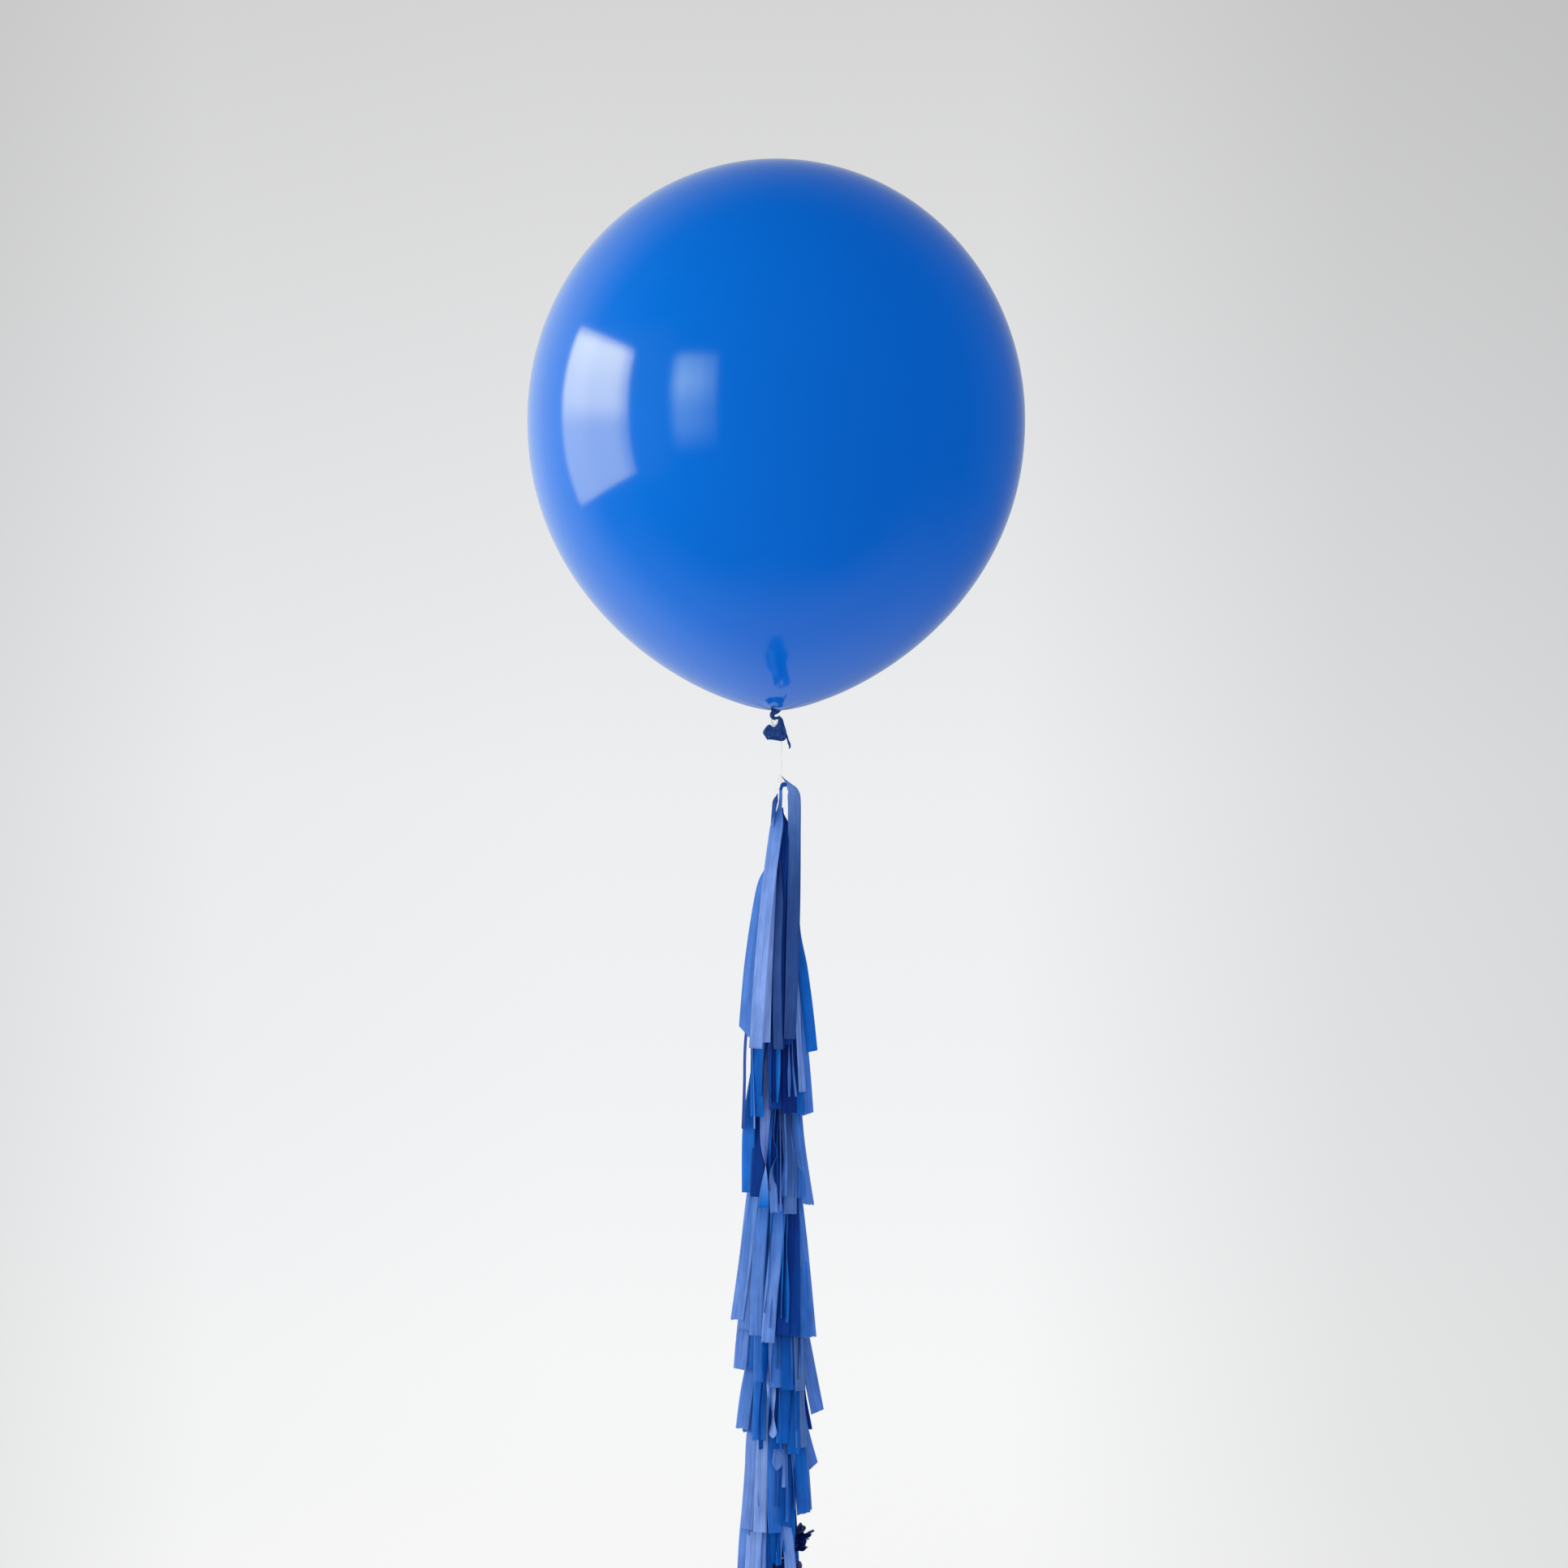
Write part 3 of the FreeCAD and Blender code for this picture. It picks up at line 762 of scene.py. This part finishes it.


# Strips that show from the front, listed one by one: tone, stations, and how the strip is shaped.
# Tones paint light and shade: 0 navy for deep shade, 0.2 dark, 0.45 bright blue, 0.7 mid and 0.95 light
# where a strip faces the light; 1.1 to 1.5 are greyer blues, shaded at 1.1 and lit at 1.5.
FRONT_STRIPS = {
    1: [
        ((1.3, 1.45, 1.4, 1.25, 1.14, 1.12, 1.14, 1.12),
         [(0, 1, 0, -1), (18, 15.5, 0, -2), (38, 23, 0, -4), (110, 23.3, 0, -12), (200, 22.8, 0, -25),
          (290, 21, 8, -39), (380, 18.5, 20, -51), (468, 15, 30, -61)],
         dict(neck=0.06, spread=(0, 37), width=0.98)),
        ((0.1, 0.1, 0.4, 0.45, 0.45),
         [(80, 20, 30, 4), (160, 27, 40, 2), (270, 29, 60, -10), (350, 39, 15, -24), (420, 48, 6, -30),
          (492, 55.5, 4, -38)], dict(width=0.8, cup=-0.08, cut=-0.1, spread=(80, 170))),
        (0.12, [(62, 0, 0), (110, 4, -10), (200, 0, -8), (300, -3, 4), (484, -3, 4)],
         dict(width=0.8, cup=0.1, spread=(62, 120), layer=-5)),
        ((1.08, 1.09, 1.13, 1.14, 1.12),
         [(150, -2, -10), (190, -3, -10), (260, -6, -12), (350, -8, -8), (486, -5, 0)],
         dict(width=0.72, cup=-0.1, spread=(150, 240), layer=-3, ragged=0.003)),
        (0.08, [(60, 0.5, 0), (84, 4, 4), (110, 6.5, 8), (200, 8.5, 12), (330, 9, 10), (478, 8, 0)],
         dict(width=0.85, spread=(60, 92), layer=-7)),
        ((0.55, 0.66, 0.8, 0.9, 0.95, 0.92),
         [(24, -0.9, -4, -5), (62, -3.4, -6, -7), (106, -10.8, -10, -19), (200, -23, -12, -33),
          (330, -35, -8, -51), (484, -45.5, -4, -67)], dict(spread=(44, 94), cup=0.06)),
        ((0.2, 0.2, 0.25, 0.3, 0.6, 0.62, 0.68, 0.7),
         [(31, -6.5, -60, 2), (45, -10.8, -66, 1), (64, -13.6, -72, -1), (110, -18, -74, -5),
          (160, -23, -66, -12), (205, -36, -36, -18), (330, -54, -18, -32), (458, -65, -14, -42)],
         dict(neck=0.15, spread=(31, 46), cup=-0.06, cut=0.9)),
        (0.95, [(150, -8, -60), (250, -15, -62), (330, -20, -58), (400, -23, -52), (474, -26, -40)],
         dict(width=0.7, spread=(100, 320), layer=-3)),
    ],
    2: [
        (0.22,
         [(0, -4, 0), (150, -24, -60), (260, -52, -72), (350, -64, -74), (430, -66, -74), (508, -68, -70)],
         dict(width=0.8)),
        (0.42, [(0, -2, 0), (120, -12, -10), (240, -28, -20), (360, -42, -12), (484, -43, -6)],
         dict(cup=0.05)),
        ((0.5, 0.8, 0.9, 0.95, 0.9),
         [(0, -3, 0), (150, -24, -60), (280, -44, -80), (364, -53, -76), (430, -50, -84), (505, -48, -80)],
         dict(width=0.6, layer=2)),
        (0.14, [(0, 0, 0), (150, -4, -4), (300, -9, -6), (380, -12, -10), (470, -10, -4)],
         dict(cup=-0.14, layer=-3)),
        (0.02, [(0, 2, 0), (150, 8, 4), (300, 12, 4), (476, 15, 2)], dict(cup=0.1, width=1.05)),
        (0.85, [(0, 4, 0), (150, 18, 20), (300, 30, 48), (380, 35, 52), (440, 38, 50)],
         dict(width=0.85, layer=3)),
        ((0.3, 0.5, 0.6, 0.62), [(0, 4, 0), (160, 20, 20), (300, 30, 14), (390, 39, 8), (480, 46, 6)],
         dict(cut=-0.25)),
        ((0.1, 0.2, 0.45), [(0, 4, 0), (150, 16, 6), (300, 24, 6), (478, 29, 4)], dict(layer=-4)),
    ],
    3: [
        ((0.7, 0.9, 0.95, 0.95, 0.9, 0.4),
         [(0, -2, 0), (110, -14, 0), (202, -28, 0), (300, -28, 6), (370, -28, 30), (418, -28, 96),
          (486, -32, 164)], dict(width=0.85, cup=0.05, layer=2)),
        (0.48, [(0, -4, 0), (150, -26, -30), (260, -46, -24), (350, -58, -16), (464, -59, -12)], {}),
        (0.15, [(0, -4, 0), (150, -22, -20), (300, -36, -12), (470, -44, -8)], dict(layer=-4)),
        ((0.3, 0.4, 0.75, 0.8, 0.45, 0.75, 0.8, 0.75),
         [(0, -1, 0), (180, -8, 60), (300, -9, 80), (362, -13, 84), (390, -6, 80), (420, -15, 60),
          (452, -14, 12), (494, -12, 4)], dict(width=0.62, ragged=0.004)),
        (0.12, [(0, 0, 0), (150, -2, 4), (300, -6, 6), (480, -9, 4)], dict(cup=-0.1, layer=-4)),
        ((1.08, 1.1, 1.15, 1.25, 1.3), [(0, 1, 0), (160, 3, 8), (320, 9, 8), (410, 16, 4), (497, 16, 0)],
         dict(width=0.95)),
        (0.82, [(200, -3, 80), (320, -2, 82), (400, -1, 80), (492, -1, 70)], dict(width=0.4, layer=2)),
        ((0.4, 0.5, 0.6, 0.72), [(0, 3, 0), (150, 12, 10), (260, 22, 12), (370, 31, 6), (484, 48, 4)],
         dict(width=0.9, ragged=0.004, cut=0.15)),
        (0.55, [(0, 3, 0), (150, 12, 14), (300, 24, 10), (400, 29, 10), (470, 30, 8)], dict(layer=-4)),
    ],
    4: [
        ((0.7, 0.75, 0.8, 0.82),
         [(0, -4, 0), (110, -28, -20), (230, -50, -20), (350, -64, -14), (458, -79, -8)],
         dict(cup=0.06, ragged=0.004)),
        ((0.45, 0.5, 0.72, 0.76),
         [(0, -3, 0), (110, -22, -14), (230, -44, -14), (350, -58, -8), (476, -66, -6)],
         dict(layer=3, cup=0.05)),
        ((0.3, 0.42, 0.7, 0.75),
         [(0, -2, 0), (110, -14, -10), (230, -30, -12), (350, -40, -6), (482, -45, -4)],
         dict(layer=3, cup=0.04)),
        (0.42, [(0, -3, 0), (150, -30, -14), (300, -52, -14), (400, -58, -10), (470, -64, -8)],
         dict(layer=-4)),
        ((0.4, 0.5, 0.6, 0.74, 0.78, 0.78),
         [(0, 0, 0), (150, -1, -2), (265, -4, -4), (355, -12, -8), (411, -18, -8), (492, -24, -6)],
         dict(layer=4, ragged=0.002)),
        (0.14, [(0, 1, 0), (150, 6, 4), (265, 9, 2), (350, 10, 0), (480, 2, -4)], dict(cup=0.12)),
        ((0.05, 0.04, 0.2, 0.22), [(0, 2, 0), (150, 12, 8), (265, 20, 8), (350, 22, 10), (482, 22, 8)],
         dict(cup=-0.1, layer=-2)),
        ((0.4, 0.6, 0.62, 0.68), [(0, 3, 0), (150, 16, 20), (263, 29, 18), (347, 38, 12), (486, 51, 6)],
         dict(layer=2, ragged=0.002)),
        ((0.3, 0.5, 0.55, 0.55), [(0, 3, 0), (150, 14, 20), (300, 30, 12), (400, 36, 8), (484, 40, 6)],
         dict(layer=-1)),
    ],
    5: [
        (0.78, [(0, -4, 0), (140, -30, -20), (270, -54, -16), (375, -67, -10), (452, -74, -8)],
         dict(cut=0.1)),
        ((0.3, 0.35, 0.55, 0.5), [(0, -3, 0), (150, -22, -14), (300, -46, -14), (452, -54, -8)],
         dict(cup=-0.15, layer=-2)),
        (0.58, [(0, -2, 0), (150, -16, -8), (300, -34, -10), (470, -38, -6)], {}),
        ((0.3, 0.4, 0.5, 0.62), [(0, 0, 0), (150, -4, -4), (300, -6, -4), (478, -8, 4)],
         dict(cup=-0.1, layer=-2)),
        ((0.2, 0.25, 0.35), [(0, 0, 0), (150, 4, 4), (300, 8, 4), (482, 12, 6)], dict(cup=0.14)),
        (0.36, [(0, 2, 0), (150, 10, 6), (300, 20, 6), (474, 24, 4)], dict(cup=-0.1, layer=-3)),
        ((1.3, 1.35), [(0, 3, 0), (150, 14, 20), (300, 26, 40), (400, 31, 44), (484, 34, 40)],
         dict(layer=2)),
    ],
    6: [
        ((0.5, 0.6, 0.68, 0.76),
         [(0, -4, 0), (120, -26, -20), (300, -48, -16), (380, -62, -12), (442, -70, -10)],
         dict(ragged=0.003, layer=2)),
        ((0.5, 0.5, 0.55, 0.58),
         [(0, -3, 0), (120, -22, -16), (300, -42, -12), (380, -52, -8), (447, -58, -8)],
         dict(ragged=0.003)),
        (0.5, [(0, -2, 0), (120, -16, -10), (300, -32, -10), (380, -38, -6), (456, -40, -4)],
         dict(layer=4, ragged=0.004)),
        ((0.6, 0.9, 0.96, 0.95, 0.9, 0.95),
         [(0, -1, 0), (140, -10, -4), (280, -20, -4), (360, -18, -16), (412, -15, -76), (450, -15, -8)],
         dict(width=0.72, layer=5, cup=0.1, rounded=14)),
        (0.3, [(0, 0, 0), (150, -1, 0), (300, -4, 0), (470, -8, 0)], dict(layer=-3, cup=0.1)),
        ((0.2, 0.2, 0.42), [(0, 1, 0), (150, 6, 8), (300, 10, 20), (460, 2, 20)], dict(cup=-0.2)),
        ((0.3, 0.3, 0.42), [(0, 2, 0), (150, 12, 8), (300, 20, 8), (480, 22, 4)], dict(layer=-2, cup=0.1)),
        ((0.6, 0.7, 0.72, 0.72), [(0, 4, 0), (140, 19, 10), (250, 34, 8), (331, 49, 4), (412, 65, 2)],
         dict(cut=-0.2)),
        (1.35, [(0, 3, 0), (150, 16, 20), (300, 29, 30), (400, 33, 40), (470, 36, 36)], dict(layer=-2)),
    ],
    7: [
        ((0.6, 0.62, 0.68, 0.66), [(0, 3, 0), (120, 20, 20), (224, 31, 40), (310, 38, 24), (388, 58, 10)],
         dict(cut=-0.5, width=0.75, layer=3)),
        ((0.3, 0.4, 0.45, 0.5), [(0, 2, 0), (150, 16, 14), (322, 30, 8), (400, 35, 4), (467, 40, 2)],
         dict(cut=-0.15, ragged=0.001)),
        (1.4, [(0, 2, 0), (150, 20, 24), (322, 37, 30), (400, 43, 24), (462, 47, 20)],
         dict(width=0.7, layer=2)),
        ((0.5, 0.5, 0.72, 0.76), [(0, -1, 0), (150, -2, 0), (260, 2, 10), (330, 0, 14), (388, -8, 24)],
         dict(rounded=22, layer=6, cup=0.2)),
        (0.8, [(200, 6, 30), (300, 7, 40), (380, 7, 30), (418, 6, 10)], dict(width=0.45, layer=3)),
        (0.86, [(0, -3, 0), (150, -30, -20), (325, -50, -14), (398, -54, -10), (500, -62, -10)], {}),
        ((0.8, 0.95, 0.98, 0.98),
         [(0, -2, 0), (150, -16, -12), (326, -30, -10), (400, -35, -6), (498, -38, -4)],
         dict(layer=3, cup=0.06)),
        ((0.2, 0.35, 0.55, 0.5), [(0, -1, 0), (150, -6, 0), (320, -12, 8), (430, -14, 14), (497, -11, 16)],
         dict(cup=-0.12)),
        (0.32, [(0, 1, 0), (150, 4, 0), (320, 8, 0), (486, 7, 8)], dict(layer=-3, cut=0.3)),
    ],
    8: [
        (0.78, [(0, -4, 0), (150, -34, -30), (300, -56, -24), (400, -66, -14), (476, -70, -12)],
         dict(width=0.8)),
        (0.97, [(0, -3, 0), (150, -26, -20), (300, -42, -14), (400, -50, -10), (478, -54, -8)],
         dict(layer=2)),
        (0.95, [(0, -2, 0), (150, -16, -10), (300, -30, -10), (400, -35, -8), (480, -37, -4)],
         dict(width=0.8, layer=4)),
        (0.4, [(0, -1, 0), (150, -6, 0), (300, -14, 0), (380, -16, 10), (440, -18, 14)], dict(width=0.7)),
        (0.45, [(0, 1, 0), (150, 4, 0), (300, 12, 4), (360, 14, 20), (420, 14, 40)], dict(layer=-2)),
        ((0.4, 0.5, 0.7, 0.82, 0.84), [(0, 1, 0), (200, 2, 6), (330, 0, 8), (402, 12, 4), (478, 19, 4)],
         dict(width=0.85, layer=3)),
    ],
}


def make_ribbons(n, head):
    """The strips: those listed one by one, those at the back, and slivers between them."""
    chance = random.Random(100 + n)
    b = Builder()
    for k, (tone, stations, shape) in enumerate(FRONT_STRIPS[n]):
        strip(b, head, tone, stations, n * 3.7 + k * 1.3, **shape)
    # The last tassel's right side is open, and the foil's ruffle shows there.
    last = n == len(TASSELS)
    middle = 222 if last else 180
    for k in range(BACK_STRIPS):
        azimuth = middle + (k - (BACK_STRIPS - 1) / 2) * 34 + chance.uniform(-8, 8)
        ring_strip(b, head, azimuth, chance, n * 7.3 + k)
    # The first tassel's front strips are all listed one by one, and the others have slivers as well.
    for k in range(SLIVERS if n > 1 else 0):
        x = chance.uniform(-40, 0 if last else 34)
        tilt = chance.choice((-1, 1)) * chance.uniform(58, 84)
        end = chance.uniform(440, 482)
        strip(b, head, chance.choice((0.32, 0.42, 0.55, 0.68)),
              [(60, 0.1 * x, tilt), (180, 0.4 * x, 0.9 * tilt), (300, 0.75 * x, tilt),
               (400, 0.95 * x, 0.85 * tilt), (end, x, tilt)], n * 5.1 + k,
              width=chance.uniform(0.35, 0.7), layer=chance.uniform(-1, 3), flutter=1.0,
              spread=(60, 200))
    ribbons = b.make("ribbons_%d" % n, TISSUE)
    place(ribbons, "tassel_%d" % n, "tassel_%d_strips" % n)


def make_twist(n, head):
    """The strips' twisted middle: it folds over the knot in the line and is bound below."""
    fold = [(11, 2, -14.5), (7, 1, -14), (3, 0, -15), (0, -0.5, -19), (-0.8, -0.5, -27),
            (-0.8, 0, -38), (-0.8, 0, -54)]
    radii = [4.2, 4.2, 3.7, 2.9, 2.5, 2.4, 2.2]
    b = Builder()
    b.bend(fold, radii, head, 60, 24, tone=0.28, lobes=5, lobe_depth=0.14, squash=0.8)
    place(b.make("twist_%d" % n, TISSUE), "tassel_%d" % n, "tassel_%d_collar" % n)


def make_tie(n, head):
    """The knot in the line that the tassel rests on, with a slack loop and a cut end."""
    b = Builder()
    knot = box_middle("tassel_%d_tie" % n)
    overhand(b, (knot.x, 0.0, knot.z), 0.0013, 0.0004)
    loop = []
    for k in range(37):
        a = math.radians(10 * k)
        loop.append((-2.8 - 2.6 * math.cos(a), -3.5, -3 + 8.5 * math.sin(a)))
    b.tube(in_metres(loop, head), 0.0003, 8)
    cut_end = [(-1, -3.4, -17), (-4, -4.5, -20), (-7, -5, -23.5), (-11.5, -5, -25)]
    b.tube(in_metres(sample(cut_end, 16), head), 0.00035, 8)
    place(b.make("tie_%d" % n, NYLON), "tail", "tassel_%d_tie" % n)


for number in TASSELS:
    top = Vector((LINE_X, 0.0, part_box("tassel_%d_collar" % number)[1].z))
    make_ribbons(number, top)
    make_twist(number, top)
    make_tie(number, top)


# ---------------------------------------------------------------- weight

CORE_TOP = 54               # in millimetres
PETALS = 44
FOIL_NECK_RADIUS = 0.0065


def make_foil_wrap():
    """Film folded up round the core and drawn in to the tie."""
    low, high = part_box("weight_foil")
    radius = (high.x - low.x) / 2
    around = 192
    profile = [(0.0, 0.0), (0.35, 0.0), (0.8, 0.0), (0.97, 0.4), (1.0, 3.0), (1.0, 16.0), (1.0, 32.0),
               (1.0, 46.0), (0.99, 52.0), (0.76, 56.5), (0.4, 61.0), (0.2, 64.5), (0.19, 68.5)]
    rows = []
    for share, height in sample(profile, 90):
        row = []
        for i in range(around):
            a = turn_of(i, around)
            gather = 0.025 + 0.16 * smoothstep(40, 60, height)
            pleat = gather * math.cos(16 * a + 0.05 * height) + 0.6 * gather * math.cos(27 * a + 1.3)
            crumple = noise.noise(Vector((math.cos(a) * 3.2, math.sin(a) * 3.2, height * 0.075)))
            swell = 0.5 * pleat * smoothstep(6, 40, height) + 0.05 * crumple
            if height < CORE_TOP:
                # Over the core the film only swells outward, so the core never shows through.
                swell = 0.02 * smoothstep(-0.06, 0.06, swell)
            r = radius * share * (1 + smoothstep(0.0, 5.0, height) * swell)
            row.append(polar(r, a, low.z + height * MM, LINE_X))
        rows.append(row)
    b = Builder()
    b.grid(rows)
    place(b.make("foil_wrap", FOIL), "weight", "weight_foil")


def make_ruffle():
    """The film's crimped ends, fanned out above the tie."""
    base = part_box("weight_ruffle")[0].z
    b = Builder()
    chance = random.Random(7)
    for k in range(PETALS):
        a = turn_of(k, PETALS) + chance.uniform(-0.15, 0.15)
        a -= 0.6 * math.sin(a)
        to_right = max(0.0, math.cos(a)) ** 0.7
        lean = math.radians(chance.uniform(15, 42) + chance.uniform(0, 40) * to_right)
        length = chance.uniform(46, 78) * (1 - 0.14 * lean) * MM
        out = Vector((math.cos(a), math.sin(a), 0))
        side = Vector((-math.sin(a), math.cos(a), 0))
        face = out * math.cos(lean) - Vector((0, 0, math.sin(lean)))
        turned = chance.uniform(-1.3, 1.3)
        rows = 26
        centres, across, normals, halves = [], [], [], []
        for j in range(rows + 1):
            t = j / rows
            crimp = 1.6 * MM * math.sin(19 * t * (1 + (0.1 * k) % 3)) * smoothstep(0.1, 0.5, t)
            reach = FOIL_NECK_RADIUS + length * (math.sin(lean) * t ** 1.3) + crimp
            height = length * t * math.cos(lean)
            sway = 5 * MM * noise.noise(Vector((t * 3, k * 1.7, 0.3)))
            centres.append(Vector((LINE_X, 0, base)) + out * reach + side * sway + Vector((0, 0, height)))
            twist = smoothstep(0.0, 0.4, t) * turned + 0.7 * noise.noise(Vector((t * 2.5, k * 2.3, 4.0)))
            across.append(side * math.cos(twist) + face * math.sin(twist))
            halves.append((1.6 + 11.5 * t * (1 - 0.55 * t ** 4)) * MM * chance.uniform(0.86, 1.08))
        for j in range(rows + 1):
            normals.append(across[j].cross(heading(centres, j)).normalized())
        b.ribbon(centres, across, normals, halves, [0.0] * (rows + 1),
                 cup=0.35 * chance.choice((-1, 1)), cut=chance.uniform(-0.6, 0.6),
                 ragged=0.004, seed=float(k))
    place(b.make("foil_ruffle", FOIL), "weight", "weight_ruffle")


def make_weight_tie():
    """Turns of line round the film's neck."""
    low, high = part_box("weight_tie")
    thread = 0.0006
    b = Builder()
    b.tube(spiral((high.x - low.x) / 2 - 2 * thread, low.z, high.z, 4), thread, 8)
    place(b.make("weight_tie_turns", NYLON), "weight", "weight_tie")


make_foil_wrap()
make_ruffle()
make_weight_tie()
core_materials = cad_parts["weight_core"].data.materials
core_materials.clear()
core_materials.append(CEMENT)


# ---------------------------------------------------------------- floor, light, world

FLOOR_RADIUS = 3.0
GLOSS_TINT = (0.97, 1.09, 1.19)


def make_floor():
    """A pale disc that fades into the surround at its edge."""
    around = 128
    rings = (0.5, 1.0, 1.5, 2.0, FLOOR_RADIUS)
    verts = [(0, 0, FLOOR_Z)]
    verts.extend(polar(radius, turn_of(i, around), FLOOR_Z) for radius in rings for i in range(around))
    n = material_nodes("floor")
    distance = n.add("ShaderNodeVectorMath", n.place_in(), operation="LENGTH").outputs["Value"]
    fade = n.ramp(n.math("DIVIDE", distance, FLOOR_RADIUS), [(0.2, 0.0), (0.85, 1.0)])
    ground = n.add("ShaderNodeBsdfDiffuse", Color=(0.34, 0.34, 0.34)).outputs[0]
    glow = n.add("ShaderNodeEmission", Color=(0.92, 0.93, 0.93), Strength=0.45).outputs[0]
    both = n.add("ShaderNodeAddShader", ground, glow).outputs[0]
    clear = n.add("ShaderNodeBsdfTransparent").outputs[0]
    material = n.surface(n.add("ShaderNodeMixShader", fade, both, clear).outputs[0])
    floor = mesh_object("floor", verts, disc_faces(around, len(rings)), material)


def area_light(name, location, aim, width, height, radiance, colour=(1, 1, 1), glossy=False):
    """A light that only the gloss sees, or that lights everything and isn't seen in the gloss."""
    data = bpy.data.lights.new(name, "AREA")
    data.shape = "RECTANGLE"
    data.size = width
    data.size_y = height
    data.energy = radiance * math.pi * width * height
    data.color = colour
    light = new_object(name, data)
    light.location = location
    light.rotation_euler = (Vector(aim) - Vector(location)).to_track_quat("-Z", "Y").to_euler()
    light.visible_camera = False
    light.visible_glossy = glossy
    light.visible_diffuse = not glossy
    return light


def grade(light, across, up, slant=0.0):
    """Grades a light's brightness across and up its face; stops are (position, share)."""
    n = Nodes(light.data)
    emission = next(node for node in n.tree.nodes if node.type == "EMISSION")
    spot = n.add("ShaderNodeNewGeometry").outputs["Parametric"]
    x, y = n.add("ShaderNodeSeparateXYZ", spot).outputs[:2]
    tilted = n.math("MULTIPLY_ADD", x, slant, y)
    share = n.math("MULTIPLY", n.ramp(x, across, "EASE"), n.ramp(tilted, up, "EASE"))
    n.fill(emission.inputs["Strength"], share)


def make_lights():
    """Two windows that show in the gloss, and a soft light from the left."""
    big = area_light("window", (-3.0, -0.21, 0.27), (0, -0.21, 0.27), 2.5, 2.6, 15.5, (1, 0.91, 0.38),
                     glossy=True)
    grade(big, [(0.0, 0.0), (0.12, 0.5), (0.4, 0.7), (0.8, 0.82), (0.93, 0.5), (1.0, 0.0)],
          [(0.0, 0.0), (0.05, 0.42), (0.42, 0.43), (0.6, 0.8), (0.92, 1.0), (0.97, 0.5), (1.0, 0.0)],
          slant=0.09)
    small = area_light("far_window", (-1.75, -2.5, 0.28), (0, 0, 0.28), 1.3, 2.3, 5.8, (0.8, 1, 0.6),
                       glossy=True)
    grade(small, [(0.0, 0.0), (0.3, 1.0), (0.55, 0.8), (0.85, 0.45), (1.0, 0.0)],
          [(0.0, 0.0), (0.35, 0.45), (0.62, 1.0), (0.76, 0.8), (0.93, 0.0)])
    area_light("left_soft", (-3.4, -1.4, 0.3), (0, 0, 0), 2.6, 3.4, 4.6, (1, 1, 0.62))


def make_world():
    """The surround: one look for the camera, one for the gloss and one for everything else."""
    world = bpy.data.worlds.new("studio")
    bpy.context.scene.world = world
    n = Nodes(world, "ShaderNodeOutputWorld")
    direction = n.add("ShaderNodeSeparateXYZ", n.add("ShaderNodeTexCoord").outputs["Generated"])

    def ramp(axis, low, high, *stops):
        """Grey or colour along one axis of the direction; stops are (direction, value)."""
        spread = n.add("ShaderNodeMapRange", direction.outputs[axis], From_Min=low, From_Max=high)
        return n.ramp(spread.outputs[0], [((at - low) / (high - low), value) for at, value in stops])

    # What the camera sees: paler towards the floor, dimmer towards the right
    seen = n.times(
        ramp("Z", -0.3, 0.3, (-0.3, (0.94, 0.945, 0.945)), (-0.2, (0.92, 0.925, 0.93)),
             (-0.1, (0.88, 0.885, 0.9)), (0.0, (0.85, 0.857, 0.87)), (0.12, (0.77, 0.775, 0.785)),
             (0.28, (0.66, 0.66, 0.66))),
        ramp("X", -0.4, 0.4, (-0.4, 0.8), (-0.27, 0.86), (-0.2, 0.97), (-0.08, 1.0), (0.08, 1.0),
             (0.2, 0.84), (0.3, 0.78)),
    )
    # What shows in the gloss: a bright left and back, a pale floor, dark towards the camera
    walls = n.times(
        ramp("Y", -1.0, 1.0, (-1.0, 0.0), (-0.3, 0.01), (0.1, 0.14), (0.28, 0.55), (0.45, 0.9), (1.0, 1.0)),
        n.times(
            ramp("X", -1.0, 1.0, (-1.0, 1.0), (-0.6, 0.95), (-0.2, 0.7), (0.0, 0.5), (0.3, 0.36),
                 (0.65, 0.15), (1.0, 0.06)),
            ramp("Z", -1.0, 1.0, (-1.0, 0.6), (0.0, 1.0), (0.35, 0.95), (0.65, 0.65), (1.0, 0.15)),
        ),
    )
    ground = n.times(
        ramp("Z", -1.0, 0.0, (-1.0, 0.45), (-0.8, 0.36), (-0.45, 0.08), (-0.2, 0.0)),
        ramp("Y", -1.0, 1.0, (-1.0, 0.0), (-0.35, 0.05), (0.0, 0.85), (0.5, 1.0)),
    )
    gloss = n.times(n.mix(1.0, walls, ground, "ADD"), GLOSS_TINT)
    # What lights everything else
    soft = n.times(
        ramp("Z", -1.0, 1.0, (-1.0, 1.45), (0.0, 1.4), (1.0, 1.25)),
        ramp("X", -1.0, 1.0, (-1.0, 1.05), (0.0, 0.93), (1.0, 0.84)),
    )
    path = n.add("ShaderNodeLightPath").outputs
    light = n.mix(path["Is Glossy Ray"], soft, gloss)
    picked = n.mix(path["Is Camera Ray"], light, seen)
    n.surface(n.add("ShaderNodeBackground", Color=picked).outputs[0])


make_floor()
make_lights()
make_world()
bpy.context.scene.view_settings.view_transform = "Standard"
